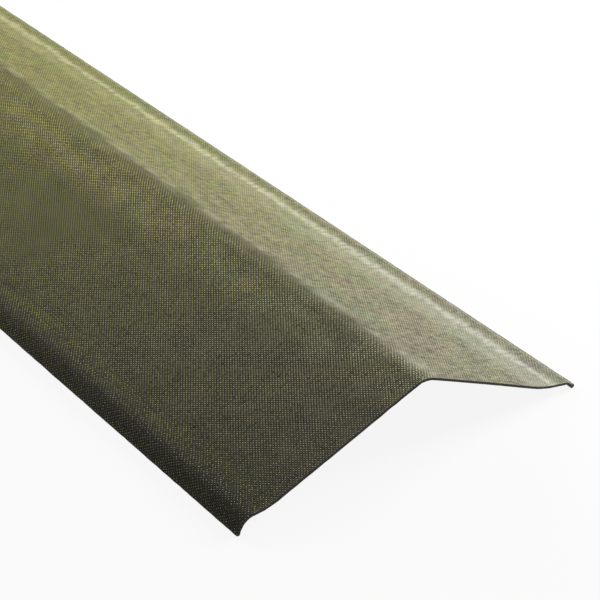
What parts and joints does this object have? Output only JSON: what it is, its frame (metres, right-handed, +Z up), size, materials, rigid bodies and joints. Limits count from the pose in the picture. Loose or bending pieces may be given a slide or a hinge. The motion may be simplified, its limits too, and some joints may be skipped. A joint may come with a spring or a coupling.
{
  "type": "verge flashing",
  "caption": "Long ridged sheet with two sloping wings and turned-down lips; covers the edge of a roof where it meets the gable.",
  "frame": {"origin": "on the floor under the middle of the sheet: the bottom centre of its box, level with the two lips that it stands on", "axes": "+X along the length of the sheet, along the fold; +Y across it, from the wide wing towards the narrow wing; +Z up, out of the ridge"},
  "size_m": [1.1, 0.349, 0.0737],
  "materials": {
    "green_bitumen_fibre": "matte"
  },
  "bodies": {
    "root": {"verge_sheet": "green_bitumen_fibre"}
  },
  "joints": []
}
